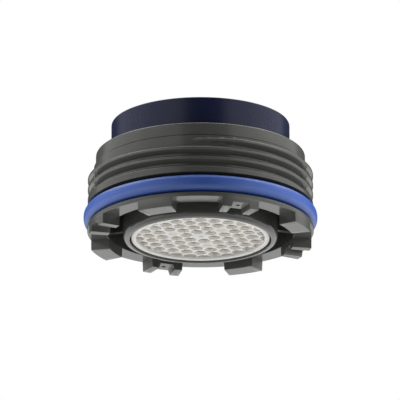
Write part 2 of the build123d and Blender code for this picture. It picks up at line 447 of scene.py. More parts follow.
@dataclass(frozen=True)
class Finish:
    """Moulded plastic or rubber as it leaves the mould.

    Attributes:
        name: Name of the material.
        slot: Material slot of the record; not used.
        colour: Base colour.
        patch_colour: Colour in the faint cloudy patches.
        patch: Size of the patches.
        roughness: Mean roughness.
        roughness_spread: How far the roughness wanders.
        grain: Size of the mould's fine grain.
        grain_depth: Height of that grain.
        scuff: How much the handled patches are dulled.
        specular: Strength of the reflections, 0.5 for plain plastic.
        coat: Weight of the polished skin that the mould leaves.
        coat_roughness: Roughness of that skin.
        scatter: Share of the light that spreads inside the plastic before it comes back.
        scatter_reach: How far that light spreads.
    """

    name: str
    slot: str
    colour: Colour
    patch_colour: Colour
    patch: float = 2.5
    roughness: float = 0.3
    roughness_spread: float = 0.08
    grain: float = 0.09
    grain_depth: float = 0.0025
    scuff: float = 0.05
    specular: float = 0.5
    coat: float = 0.0
    coat_roughness: float = 0.12
    scatter: float = 0.0
    scatter_reach: float = 0.55

    # Cloudy patches: fineness, mean value, and values between which the colour changes
    CLOUD_DETAIL = 3.0
    CLOUD_MEAN = 0.5
    CLOUD_SPAN = (0.3, 0.7)
    # Grain of the mould: fineness and share of its full relief
    GRAIN_DETAIL = 2.0
    GRAIN_STRENGTH = 0.5
    # Handled spots: how many to a patch, and values between which they turn dull
    SCUFFS_PER_PATCH = 2
    SCUFF_SPAN = (0.2, 0.7)
    # Light of every colour spreads equally far inside
    SCATTER_EVEN = (1.0, 1.0, 1.0)

    def base_colour(self, sheet: NodeSheet, place: Reading, clouds: Reading) -> Reading:
        """Colour over the surface.

        Args:
            sheet: Tree of the material.
            place: Object coordinates.
            clouds: Cloudy pattern from 0 to 1.

        Returns:
            The colour's reading.
        """
        return sheet.blend(clouds, self.colour, self.patch_colour)

    def material(self) -> bpy.types.Material:
        """Builds the material once and returns it."""
        made = bpy.data.materials.get(self.name)
        if made:
            return made
        made = bpy.data.materials.new(self.name)
        made.use_nodes = True
        sheet = NodeSheet(made.node_tree)
        place = sheet.node("ShaderNodeTexCoord")["Object"]
        clouds = sheet.noise(place, self.patch, self.CLOUD_DETAIL)
        speckle = sheet.noise(place, self.grain, self.GRAIN_DETAIL)
        scuffs = sheet.node("ShaderNodeTexVoronoi", {
            "Vector": place,
            "Scale": self.SCUFFS_PER_PATCH / (self.patch * METRES_PER_MM),
        }, feature="SMOOTH_F1")["Distance"]
        wander = (clouds - self.CLOUD_MEAN) * (2 * self.roughness_spread)
        dulled = scuffs.between(*self.SCUFF_SPAN) * self.scuff
        bump = sheet.node("ShaderNodeBump", {
            "Height": speckle,
            "Strength": self.GRAIN_STRENGTH,
            "Distance": self.grain_depth * METRES_PER_MM,
        })
        surface = sheet.node("ShaderNodeBsdfPrincipled", {
            "Base Color": self.base_colour(sheet, place, clouds.between(*self.CLOUD_SPAN)),
            "Roughness": wander + dulled + self.roughness,
            "Normal": bump["Normal"],
            "Specular IOR Level": self.specular,
            "Coat Weight": self.coat,
            "Coat Roughness": self.coat_roughness,
            "Subsurface Weight": self.scatter,
            "Subsurface Radius": self.SCATTER_EVEN,
            "Subsurface Scale": self.scatter_reach * METRES_PER_MM,
        })
        sheet.node("ShaderNodeOutputMaterial", {"Surface": surface["BSDF"]})
        return made


@dataclass(frozen=True)
class PaintedLightAndShadeFinish(Finish):
    """Pale plastic with painted light just inside the cells' mouths and warmer painted shade further down
    the cells.

    Attributes:
        painted_light_colour: Painted light on the cells' walls just inside their mouths, for light that
            comes through the plastic.
        painted_shade_colour: Painted shade, warmer and darker, far down in the cells.
        dish_painted_shade_colour: Painted shade on the floors of the shallow dishes.
        face: Height of the face that the cells open in.
        mouth: Height of the dishes' floors, where the painted light on the walls begins.
        painted_light_depth: Depth of the walls that carry the painted light.
        depth: Depth at which the painted shade is full.
    """

    # Painted light near the cells' mouths, painted shade deep in the cells and on the dishes' floors
    painted_light_colour: Colour = (0.94, 0.92, 0.87)
    painted_shade_colour: Colour = (0.57, 0.51, 0.43)
    dish_painted_shade_colour: Colour = (0.57, 0.555, 0.525)
    face: float = 0.47
    mouth: float = 0.5
    painted_light_depth: float = 0.16
    depth: float = 0.34

    def base_colour(self, sheet: NodeSheet, place: Reading, clouds: Reading) -> Reading:
        """Colour over the surface: painted shade on the dishes' floors, painted light just inside the cells'
        mouths, painted shade higher up.
        """
        height = sheet.node("ShaderNodeSeparateXYZ", {"Vector": place})["Z"]
        mouth = self.mouth * METRES_PER_MM
        painted_light_end = (self.mouth + self.painted_light_depth) * METRES_PER_MM
        painted_shade_end = (self.mouth + self.depth) * METRES_PER_MM
        pale = super().base_colour(sheet, place, clouds)
        # Painted shade on the dishes' floors, blending from the pale plastic at the cells' face
        dished = sheet.blend(height.between(self.face * METRES_PER_MM, mouth), pale, self.dish_painted_shade_colour)
        # Painted light on the walls just inside the cells' mouths
        walls = sheet.blend(height.between(mouth, painted_light_end), dished, self.painted_light_colour)
        # Painted shade, warmer and darker, further up inside the cells
        return sheet.blend(height.between(painted_light_end, painted_shade_end), walls, self.painted_shade_colour)


HOUSING_GREY = Finish("housing_grey_satin", "housing_grey", (0.075, 0.077, 0.069), (0.066, 0.068, 0.061),
                      roughness=0.18, roughness_spread=0.03, grain_depth=0.0015, scuff=0.03, coat=0.22)
SEAL_BLUE = Finish("seal_blue_rubber", "seal_blue", (0.028, 0.081, 0.33), (0.026, 0.075, 0.31),
                   roughness=0.36, roughness_spread=0.05, scuff=0.1, specular=0.85)
# The outlet's finish paints light just inside its cells' mouths and paints shade further up the cells and on
# its dishes
OUTLET_WHITE = PaintedLightAndShadeFinish("outlet_white_plastic", "outlet_white", (0.68, 0.675, 0.65), (0.645, 0.635, 0.61),
                          roughness=0.4, scatter=1.0)
GRID_WHITE = Finish("grid_white_plastic", "grid_white", (0.6, 0.58, 0.54), (0.56, 0.54, 0.5),
                    roughness=0.42)
CUP_NAVY = Finish("cup_navy_plastic", "cup_navy", (0.008, 0.011, 0.036), (0.007, 0.01, 0.032),
                  roughness=0.27, roughness_spread=0.03, grain_depth=0.0015, scuff=0.03)
REGULATOR_GREY = Finish("regulator_grey_plastic", "regulator_grey", (0.3, 0.3, 0.3), (0.27, 0.27, 0.27),
                        roughness=0.4)
REGULATOR_RUBBER = Finish("regulator_black_rubber", "regulator_rubber", (0.02, 0.02, 0.02),
                          (0.017, 0.017, 0.017), roughness=0.5, scuff=0.1)
SCREEN_NAVY = Finish("screen_navy_plastic", "screen_navy", (0.012, 0.015, 0.042), (0.01, 0.013, 0.036),
                     roughness=0.36)


@dataclass
class Thread:
    """Threaded skin of the barrel, with its run-in, its run-out and the pads at the mould's split.

    Attributes:
        hand: Way in which the ridge climbs.
        pitch: Rise of one turn.
        crest_radius: Outside radius.
        root_radius: Radius between the ridges.
        crest_width: Flat on the crest.
        root_width: Flat between the ridges.
        bottom: Lower face of the thread, above the seal.
        top: Upper end of the threaded part, where the collar steps in.
        first_crest: Height of the lowest crest, in front.
        land_rise: How far the lowest land reaches above that crest.
        turns: Ridges above the lowest land.
        spare_turns: Turns that the skin is made longer by at either end, before it is cut to length.
        run_in: Angle over which the lowest valley opens.
        run_out: Angle over which the top ridge fades.
        run_out_end: How far past the front the top ridge ends.
        pad_half_angle: Half the angle of each pad.
        pad_radius: Radius of the valleys on the pads.
        bore: Radius of the ring's inside, within the barrel's wall.
        crest_round: Rounding of the crest's edges.
        round_steps: Facets of that rounding.
        flank_steps: Facets down a flank.
        segments: Steps round the axis.
    """

    hand: ThreadHand = ThreadHand.LEFT
    pitch: float = 1.0
    crest_radius: float = 10.99
    root_radius: float = 10.39
    crest_width: float = 0.2
    root_width: float = 0.16
    bottom: float = 3.45
    top: float = 7.38
    first_crest: float = 3.91
    land_rise: float = 0.05
    turns: int = 3
    spare_turns: int = 3
    run_in: float = 40.0
    run_out: float = 28.0
    run_out_end: float = 5.0
    pad_half_angle: float = 18.6
    pad_radius: float = 10.78
    bore: float = 9.5
    crest_round: float = 0.13
    round_steps: int = 4
    flank_steps: int = 4
    segments: int = 240

    def radius(self, height: float, angle: float, plain: float) -> float:
        """Radius of the skin at one point.

        Args:
            height: Height of the point.
            angle: Angle of the point.
            plain: Radius that the endless thread has there.

        Returns:
            Radius with the land, the run-in, the run-out and the pads.
        """
        along = self.hand.value * ((angle - FRONT + 180) % 360 - 180)
        climb = (height - self.first_crest) / self.pitch - along / 360
        ridge = (plain - self.root_radius) / (self.crest_radius - self.root_radius)
        if climb < self.land_rise / self.pitch:
            ridge = 1.0
        elif climb < 1:
            ridge = 1 - (1 - ridge) * smooth_step((along + 180) / self.run_in)
        elif climb > self.turns + 0.5:
            ridge = 0.0
        elif climb > self.turns - 0.5:
            ridge = max(0.0, ridge - max(0.0, 1 - (self.run_out_end - along) / self.run_out))
        from_split = abs((angle + 90) % 180 - 90)
        root = self.root_radius
        top_ridge = self.turns if along < self.run_out_end else self.turns - 1
        if from_split < self.pad_half_angle and climb < top_ridge:
            root = self.pad_radius
        return root + (self.crest_radius - root) * ridge

    def section(self) -> list[Vector]:
        """Zigzag line of the endless thread, from below the skin to above it."""
        flank = (self.pitch - self.crest_width - self.root_width) / 2
        first = self.first_crest - self.crest_width / 2 - self.spare_turns * self.pitch
        depth = self.crest_radius - self.root_radius
        shares = [step / self.flank_steps for step in range(1, self.flank_steps)]
        tooth = [Vector((self.root_radius, 0.0, -flank))]
        tooth += [Vector((self.root_radius + depth * share, 0.0, flank * (share - 1))) for share in shares]
        lean = math.atan2(depth, flank)
        reach = self.crest_round * math.tan(lean / 2)
        for edge, side in ((0.0, -1), (self.crest_width, 1)):
            tilts = [side * lean * step / self.round_steps for step in range(self.round_steps + 1)]
            for tilt in tilts if side > 0 else reversed(tilts):
                tooth.append(Vector((self.crest_radius - self.crest_round * (1 - math.cos(tilt)), 0.0,
                                     edge - side * reach + self.crest_round * math.sin(tilt))))
        tooth += [Vector((self.crest_radius - depth * share, 0.0, self.crest_width + flank * share))
                  for share in [*shares, 1.0]]
        points = []
        for turn in range(int((self.top - self.bottom) / self.pitch) + 2 * self.spare_turns):
            rise = Vector((0.0, 0.0, first + turn * self.pitch))
            points += [point + rise for point in tooth]
        return points

    def build(self) -> bpy.types.Object:
        """Screws the zigzag round the axis, fits it to the barrel and closes it to a ring."""
        front = polar(1.0, FRONT)
        line = [Vector((p.x * front.x, p.x * front.y, p.z)) for p in self.section()]
        skin = Bench.wire("thread_skin", line)
        bpy.ops.object.mode_set(mode="OBJECT")
        screw = skin.modifiers.new("screw", "SCREW")
        screw.steps = screw.render_steps = self.segments
        screw.angle = math.tau
        screw.screw_offset = self.hand.value * self.pitch
        Bench.apply(skin, screw)
        for vertex in skin.data.vertices:
            place = vertex.co
            angle = math.degrees(math.atan2(place.y, place.x))
            wanted = self.radius(place.z, angle, math.hypot(place.x, place.y))
            vertex.co = polar(wanted, angle, place.z)
        bpy.ops.object.mode_set(mode="EDIT")
        bpy.ops.mesh.select_all(action="SELECT")
        bpy.ops.mesh.remove_doubles(threshold=Bench.MERGE_DISTANCE)
        for height, keeps_above in ((self.bottom, True), (self.top, False)):
            bpy.ops.mesh.select_all(action="SELECT")
            bpy.ops.mesh.bisect(plane_co=(0, 0, height), plane_no=(0, 0, 1), use_fill=True,
                                clear_inner=keeps_above, clear_outer=not keeps_above)
        Bench.tidy()
        core = Bench.rod("thread_core", self.bore, self.bottom - TOOL_MARGIN, self.top + TOOL_MARGIN)
        Bench.combine(skin, core, Join.CUT)
        return skin


@dataclass
class Crown:
    """Key crown: block teeth and forked teeth that stand on the flange.

    Attributes:
        inner_radius: Inside of the teeth.
        outer_radius: Outside of the teeth.
        height: How far the teeth stand out below the flange.
        sunk: How far they reach into the flange.
        block_angle: Width of a block tooth.
        block_direction: Angle of the first block tooth.
        fork_angle: Width of a forked tooth.
        fork_direction: Angle of the first forked tooth.
        notch_angle: Width of the fork's notch.
        notch_depth: Depth of the notch.
        draft: Lean of the teeth's ends.
        notch_draft: Lean of the notch's sides.
        edge: Rounding of the edges.
        dimple_diameter: Width of the gate's dimple in the notch.
        dimple_depth: Depth of that dimple.
        dimple_sides: Facets round it.
        dimple_taper: Share of its width that the cutter keeps at its upper end.
        quarters: Teeth of each kind.
    """

    inner_radius: float = 9.16
    outer_radius: float = 11.04
    height: float = 1.0
    sunk: float = 0.3
    block_angle: float = 18.6
    block_direction: float = 66.0
    fork_angle: float = 19.4
    fork_direction: float = 21.0
    notch_angle: float = 10.2
    notch_depth: float = 0.5
    draft: float = 3.0
    notch_draft: float = 18.0
    edge: float = 0.1
    dimple_diameter: float = 0.5
    dimple_depth: float = 0.2
    dimple_sides: int = 24
    dimple_taper: float = 2 / 3
    quarters: int = 4

    def section(self, bottom: float, top: float, margin: float = 0.0) -> tuple[Corner, ...]:
        """Section of the ring that a tooth is cut from."""
        inner = self.inner_radius - margin
        outer = self.outer_radius + margin
        return (Corner(inner, bottom), Corner(outer, bottom), Corner(outer, top), Corner(inner, top))

    def tooth(self, name: str, direction: float, width: float) -> bpy.types.Object:
        """Plain tooth at an angle, with sharp edges."""
        section = self.section(0.0, self.height + self.sunk)
        return Bench.sector(name, section, direction, width, self.draft)

    def block(self) -> bpy.types.Object:
        """One block tooth."""
        tooth = self.tooth("block_tooth", self.block_direction, self.block_angle)
        Bench.soften(tooth, self.edge)
        return tooth

    def fork(self) -> bpy.types.Object:
        """One forked tooth, with the gate's dimple in its notch."""
        tooth = self.tooth("fork_tooth", self.fork_direction, self.fork_angle)
        cut = self.section(-TOOL_MARGIN, self.notch_depth, TOOL_MARGIN)
        notch = Bench.sector("notch", cut, self.fork_direction, self.notch_angle, -self.notch_draft)
        Bench.combine(tooth, notch, Join.CUT)
        Bench.soften(tooth, self.edge)
        Bench.clear()
        radius = self.dimple_diameter / 2
        bpy.ops.mesh.primitive_cone_add(vertices=self.dimple_sides, radius1=radius,
                                        radius2=radius * self.dimple_taper, depth=2 * self.dimple_depth)
        dimple = bpy.context.object
        middle = (self.inner_radius + self.outer_radius) / 2
        dimple.location = polar(middle, self.fork_direction, self.notch_depth)
        bpy.ops.object.transform_apply(location=True, rotation=False, scale=False)
        Bench.combine(tooth, dimple, Join.CUT)
        return tooth

    def build(self) -> bpy.types.Object:
        """All the teeth, joined to one object."""
        turns = spread(self.quarters)
        blocks = Bench.copies(self.block(), turns=turns)
        forks = Bench.copies(self.fork(), turns=turns)
        Bench.combine(blocks, forks, Join.ADD)
        return blocks


@dataclass
class Housing:
    """Grey housing: flange, seal groove, threaded barrel, collar, and the inner ring on its ribs.

    Attributes:
        flange_radius: Outside of the flange.
        flange_bottom: Lower face of the flange.
        flange_top: Upper face of the flange, the floor of the seal's groove.
        flange_edge: Rounding of the flange's lower edge.
        flange_top_edge: Rounding of its upper edge.
        bore_radius: Inside of the crown and barrel.
        bore_edge: Rounding of the bore's lower edge.
        groove_radius: Floor of the seal's groove.
        collar_radius: Outside of the collar.
        collar_foot: Height at which the collar starts, hidden by the thread.
        collar_edge: Rounding of the collar's upper edge.
        line_depth: Depth of the fine line at the collar's foot.
        line_top: Upper end of that line.
        insert_radius: Bore that takes the cup.
        insert_edge: Rounding of that bore's upper edge.
        foot_radius: Bore that takes the cup's foot.
        ledge: Underside of the ledge that holds the foot.
        seat: Height at which the cup rests.
        ring_radius: Outside of the inner ring.
        ring_bore: Inside of the inner ring.
        ring_top: Upper end of the inner ring.
        ring_edge: Rounding of the ring's lower outer edge.
        ring_top_edge: Rounding of its upper edges.
        lip_radius: Bore of the ring's lip.
        lip_edge: Rounding of the lip's lower edge.
        lip_bottom: Lower face of the lip.
        lip_top: Upper face of the lip.
        rib_count: Ribs round the ring.
        rib_thickness: Thickness of a rib.
        rib_bottom: Lower edge of the ribs.
        rib_clearance: Gap from the ribs to the cup above.
        rib_edge: Rounding of the ribs' edges.
        rib_edge_steps: Facets of that rounding.
    """

    flange_radius: float = 11.05
    flange_bottom: float = 0.94
    flange_top: float = 1.43
    flange_edge: float = 0.1
    flange_top_edge: float = 0.22
    bore_radius: float = 9.15
    bore_edge: float = 0.06
    groove_radius: float = 9.78
    collar_radius: float = 10.2
    collar_foot: float = 7.1
    collar_edge: float = 0.16
    line_depth: float = 0.04
    line_top: float = 7.53
    insert_radius: float = 8.78
    insert_edge: float = 0.08
    foot_radius: float = 8.93
    ledge: float = 7.48
    seat: float = 6.6
    ring_radius: float = 7.55
    ring_bore: float = 7.1
    ring_top: float = 5.6
    ring_edge: float = 0.55
    ring_top_edge: float = 0.06
    lip_radius: float = 6.9
    lip_edge: float = 0.03
    lip_bottom: float = 0.05
    lip_top: float = 1.2
    rib_count: int = 8
    rib_thickness: float = 0.6
    rib_bottom: float = 2.0
    rib_clearance: float = 0.02
    rib_edge: float = 0.05
    rib_edge_steps: int = 2

    @classmethod
    def from_frame(cls) -> "Housing":
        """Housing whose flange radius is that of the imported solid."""
        return cls(flange_radius=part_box("threaded_housing")[1].x / METRES_PER_MM)

    def barrel(self, top: float) -> bpy.types.Object:
        """Flange, groove and collar as one turned solid."""
        line_radius = self.collar_radius - self.line_depth
        return Bench.turn("housing_moulding", (
            Corner(self.bore_radius, self.flange_bottom, self.bore_edge),
            Corner(self.flange_radius, self.flange_bottom, self.flange_edge),
            Corner(self.flange_radius, self.flange_top, self.flange_top_edge),
            Corner(self.groove_radius, self.flange_top),
            Corner(self.groove_radius, self.collar_foot),
            Corner(line_radius, self.collar_foot),
            Corner(line_radius, self.line_top - self.line_depth),
            Corner(self.collar_radius, self.line_top),
            Corner(self.collar_radius, top, self.collar_edge),
            Corner(self.insert_radius, top, self.insert_edge),
            Corner(self.insert_radius, self.ledge),
            Corner(self.foot_radius, self.ledge),
            Corner(self.foot_radius, self.seat),
            Corner(self.bore_radius, self.seat),
        ))

    def inner_ring(self) -> bpy.types.Object:
        """Ring that holds the outlet, with its ribs."""
        ring = Bench.turn("inner_ring", (
            Corner(self.lip_radius, self.lip_bottom, self.lip_edge),
            Corner(self.ring_radius, self.lip_bottom, self.ring_edge),
            Corner(self.ring_radius, self.ring_top, self.ring_top_edge),
            Corner(self.ring_bore, self.ring_top, self.ring_top_edge),
            Corner(self.ring_bore, self.lip_top),
            Corner(self.lip_radius, self.lip_top),
        ))
        start = (self.ring_radius + self.ring_bore) / 2
        end = (self.bore_radius + self.groove_radius) / 2
        top = self.seat - self.rib_clearance
        Bench.clear()
        bpy.ops.mesh.primitive_cube_add(size=1)
        rib = bpy.context.object
        rib.scale = (end - start, self.rib_thickness, top - self.rib_bottom)
        rib.location = ((start + end) / 2, 0, (top + self.rib_bottom) / 2)
        bpy.ops.object.transform_apply(location=True, rotation=True, scale=True)
        Bench.soften(rib, self.rib_edge, self.rib_edge_steps)
        ribs = Bench.copies(rib, turns=spread(self.rib_count, Crown.fork_direction))
        Bench.combine(ring, ribs, Join.ADD)
        return ring

    def build(self) -> None:
        """Makes the moulding and hands it to the frame."""
        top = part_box("threaded_housing")[1].z / METRES_PER_MM
        moulding = self.barrel(top)
        for build in (Thread().build, Crown().build, self.inner_ring):
            Bench.combine(moulding, build(), Join.ADD)
        Bench.finish(moulding, HOUSING_GREY, "threaded_housing")


@dataclass
class Seal:
    """Blue sealing ring, pressed flat where it lies on the groove's floor.

    Attributes:
        section_radius: Radius of the round section.
        centre_radius: Radius of the section's centre line.
        centre_height: Height of the section's centre.
        seat_radius: Inner radius of the pressed flat.
        fullness: How full the pressed section is, 2 for a plain round.
        steps: Points round the section.
    """

    section_radius: float = 0.8
    centre_radius: float = 10.6
    centre_height: float = 2.36
    seat_radius: float = 9.82
    fullness: float = 2.4
    steps: int = 40

    def build(self) -> None:
        """Makes the ring and hands it to the frame."""
        corners = []
        for step in range(self.steps):
            angle = math.tau * step / self.steps
            across, up = (math.copysign(abs(part) ** (2 / self.fullness), part)
                          for part in (math.cos(angle), math.sin(angle)))
            radius = max(self.centre_radius + self.section_radius * across, self.seat_radius)
            corners.append(Corner(radius, self.centre_height + self.section_radius * up))
        Bench.finish(Bench.turn("seal_o_ring", corners), SEAL_BLUE, "seal_ring")


@dataclass
class CellPlate:
    """Field of hexagonal cells that is cut through a disc.

    Attributes:
        pitch: Distance between neighbouring cells.
        wall: Thickness of the walls between them.
        direction: Angle of a row of cells.
        reach: Cells with their centres beyond this radius are left out.
        field_radius: Circle that trims the outer cells.
        bottom: Lower face of the disc.
        top: Upper face of the disc.
        lip: Rounding of the cells' mouths.
        corner: Rounding of the cells' corners.
        blanks: Closed cells, as steps along the two row directions. All but the middle one are dished.
        dish: Depth of the dishes.
        clear_radius: Cells with their centres inside this radius are left out.
    """

    pitch: float
    wall: float
    direction: float
    reach: float
    field_radius: float
    bottom: float
    top: float
    lip: float = 0.05
    corner: float = 0.06
    blanks: tuple[tuple[int, int], ...] = ()
    dish: float = 0.04
    clear_radius: float = 0.0

    # Corners of a cell, and facets of their rounding
    SIDES = 6
    CORNER_STEPS = 3
    # A mouth's rounding has one bend: its flare there, and its height outside and inside of it
    LIP_WAIST = 0.35
    LIP_RISES = (0.4, 0.6)
    # Width of a dish's floor against the cell's, and the length of its cutter in lips
    DISH_FLOOR = 0.75
    DISH_CUTTER = 4

    def centre(self, step_u: int, step_v: int) -> Vector:
        """Centre of the cell at that many steps along the two row directions."""
        other_row = self.direction + 360 / self.SIDES
        return polar(self.pitch * step_u, self.direction) + polar(self.pitch * step_v, other_row)

    def centres(self) -> list[Vector]:
        """Centres of the open cells."""
        count = int(2 * self.reach / self.pitch) + 1
        steps = range(-count, count + 1)
        found = [self.centre(u, v) for u in steps for v in steps if (u, v) not in self.blanks]
        return [centre for centre in found if self.clear_radius <= centre.length < self.reach]

    def cutter(self, depth: float, goes_through: bool) -> bpy.types.Object:
        """Prism that cuts one cell, flared at its mouths.

        Args:
            depth: Depth of the cell from the lower face.
            goes_through: Whether the cell has a mouth in the upper face too.

        Returns:
            The prism on the axis.
        """
        apothem = (self.pitch - self.wall) / 2
        radius = apothem / math.cos(math.pi / self.SIDES)
        Bench.clear()
        bpy.ops.mesh.primitive_circle_add(vertices=self.SIDES, radius=radius, fill_type="NGON")
        prism = bpy.context.object
        bpy.ops.object.mode_set(mode="EDIT")
        bpy.ops.mesh.select_all(action="SELECT")
        bpy.ops.transform.rotate(value=math.radians(self.direction), orient_axis="Z",
                                 center_override=(0, 0, 0))
        bpy.ops.mesh.bevel(offset=self.corner, segments=self.CORNER_STEPS, affect="VERTICES")
        flare = 1 + self.lip / apothem
        waist = 1 + self.lip * self.LIP_WAIST / apothem
        outer, inner = (self.lip * share for share in self.LIP_RISES)
        bpy.ops.transform.resize(value=(flare, flare, 1))
        bpy.ops.transform.translate(value=(0, 0, self.bottom - self.lip))
        mouth = [(1.0, self.lip), (waist / flare, outer), (1 / waist, inner)]
        shaft = [(1.0, depth - 2 * self.lip)]
        way_out = [(waist, inner), (flare / waist, outer), (1.0, self.lip)]
        for scale, rise in mouth + shaft + (way_out if goes_through else [(self.DISH_FLOOR, self.lip)]):
            bpy.ops.mesh.extrude_region_move(TRANSFORM_OT_translate={"value": (0, 0, rise)})
            bpy.ops.transform.resize(value=(scale, scale, 1))
        Bench.tidy()
        return prism

    def cut(self, disc: bpy.types.Object) -> None:
        """Cuts the cells through a disc."""
        cutters = Bench.copies(self.cutter(self.top - self.bottom, True), self.centres())
        trim = Bench.rod("trim", self.field_radius, self.bottom - TOOL_MARGIN, self.top + TOOL_MARGIN)
        Bench.combine(cutters, trim, Join.KEEP)
        Bench.combine(disc, cutters, Join.CUT)
        dished = [self.centre(u, v) for u, v in self.blanks if (u, v) != (0, 0)]
        if dished:
            depth = self.DISH_CUTTER * self.lip
            places = [centre + Vector((0, 0, self.dish - depth)) for centre in dished]
            Bench.combine(disc, Bench.copies(self.cutter(depth, False), places), Join.CUT)


@dataclass
class Outlet:
    """Off-white honeycomb outlet in its rim.

    Attributes:
        rim_bottom: Lower face of the rim.
        cell_face: Lower face of the cells.
        cell_pitch: Distance between neighbouring cells.
        cell_wall: Thickness of the walls between them.
        cell_direction: Angle of a row of cells.
        cell_reach: Cells with their centres beyond this radius are left out.
        blanks: Closed cells, as steps along the two row directions.
        field_radius: Inside of the rim.
        field_margin: Ledge that the trimmed cells leave inside the rim.
        rim_edge: Rounding of the rim's inner edges.
        spigot_radius: Outside of the rim where it passes the lip.
        flange_radius: Outside of the part above the lip.
        outer_edge: Rounding of the outer edges.
        shoulder: Height of the lip's upper face.
        top: Upper face.
        nub_radius: Radius of the gate's mark at the centre.
        nub_height: How far that mark stands out.
        nub_edge: Rounding of its end.
        nub_foot: Width of its foot, as a share of the width at its end.
        nub_sunk: How far it reaches into the disc.
        nub_segments: Steps round it.
    """

    rim_bottom: float = 0.2
    cell_face: float = 0.46
    cell_pitch: float = 1.4
    cell_wall: float = 0.3
    cell_direction: float = 16.1
    cell_reach: float = 6.6
    blanks: tuple[tuple[int, int], ...] = ((0, 0), (0, 2), (-2, 0), (2, -2))
    field_radius: float = 6.3
    field_margin: float = 0.02
    rim_edge: float = 0.06
    spigot_radius: float = 6.74
    flange_radius: float = 7.05
    outer_edge: float = 0.08
    shoulder: float = 1.2
    top: float = 3.0
    nub_radius: float = 0.18
    nub_height: float = 0.14
    nub_edge: float = 0.07
    nub_foot: float = 1.2
    nub_sunk: float = 0.1
    nub_segments: int = 24

    def build(self) -> None:
        """Makes the outlet and hands it to the frame."""
        disc = Bench.turn("outlet_honeycomb", (
            Corner(0, self.cell_face),
            Corner(self.field_radius, self.cell_face, self.rim_edge),
            Corner(self.field_radius, self.rim_bottom, self.rim_edge),
            Corner(self.spigot_radius, self.rim_bottom, self.outer_edge),
            Corner(self.spigot_radius, self.shoulder),
            Corner(self.flange_radius, self.shoulder),
            Corner(self.flange_radius, self.top, self.outer_edge),
            Corner(0, self.top),
        ))
        CellPlate(pitch=self.cell_pitch, wall=self.cell_wall, direction=self.cell_direction,
                  reach=self.cell_reach, field_radius=self.field_radius - self.field_margin,
                  bottom=self.cell_face, top=self.top, blanks=self.blanks).cut(disc)
        end = self.cell_face - self.nub_height
        foot = self.cell_face + self.nub_sunk
        nub = Bench.turn("nub", (
            Corner(0, end),
            Corner(self.nub_radius, end, self.nub_edge),
            Corner(self.nub_radius * self.nub_foot, foot),
            Corner(0, foot),
        ), self.nub_segments)
        Bench.combine(disc, nub, Join.ADD)
        Bench.finish(disc, OUTLET_WHITE, "honeycomb_outlet")


@dataclass
class InletCup:
    """Navy cup with the jets in its floor.

    Attributes:
        radius: Outside of the cup.
        foot_radius: Outside of the foot that snaps into the housing.
        foot_top: Upper face of the foot.
        foot_edge: Rounding of the foot's lower edge.
        foot_top_edge: Rounding of its upper edge.
        seat: Lower face.
        edge: Rounding of the upper outer edge.
        mouth_edge: Rounding of the upper inner edge.
        cavity_radius: Inside of the cup.
        chamber_radius: Inside below the regulator.
        regulator_seat: Height on which the regulator rests.
        floor: Upper face of the jet plate.
        jet_diameter: Width of a jet.
        jet_rows: Radius and number of the jets in each row.
        jet_sides: Facets round a jet.
        jet_end: Radius of the cutter's lower end, as a share of the jet's width.
        jet_length: Length of the cutter, as a multiple of the jet plate's thickness.
    """

    radius: float = 8.7
    foot_radius: float = 8.85
    foot_top: float = 7.4
    foot_edge: float = 0.1
    foot_top_edge: float = 0.05
    seat: float = 6.6
    edge: float = 0.14
    mouth_edge: float = 0.2
    cavity_radius: float = 7.7
    chamber_radius: float = 7.2
    regulator_seat: float = 8.3
    floor: float = 7.5
    jet_diameter: float = 0.8
    jet_rows: tuple[tuple[float, int], ...] = ((6.2, 12), (4.3, 6))
    jet_sides: int = 20
    jet_end: float = 0.42
    jet_length: float = 4.0

    def jets(self) -> bpy.types.Object:
        """Cutters for all the jets."""
        Bench.clear()
        bpy.ops.mesh.primitive_cone_add(vertices=self.jet_sides, radius1=self.jet_diameter * self.jet_end,
                                        radius2=self.jet_diameter / 2,
                                        depth=self.jet_length * (self.floor - self.seat))
        middle = (self.floor + self.seat) / 2
        places = [polar(radius, angle, middle) for radius, count in self.jet_rows for angle in spread(count)]
        return Bench.copies(bpy.context.object, places)

    def build(self) -> None:
        """Makes the cup and hands it to the frame."""
        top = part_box("jet_splitter")[1].z / METRES_PER_MM
        cup = Bench.turn("inlet_cup", (
            Corner(0, self.seat),
            Corner(self.foot_radius, self.seat, self.foot_edge),
            Corner(self.foot_radius, self.foot_top, self.foot_top_edge),
            Corner(self.radius, self.foot_top),
            Corner(self.radius, top, self.edge),
            Corner(self.cavity_radius, top, self.mouth_edge),
            Corner(self.cavity_radius, self.regulator_seat),
            Corner(self.chamber_radius, self.regulator_seat),
            Corner(self.chamber_radius, self.floor),
            Corner(0, self.floor),
        ))
        Bench.combine(cup, self.jets(), Join.CUT)
        Bench.finish(cup, CUP_NAVY, "jet_splitter")


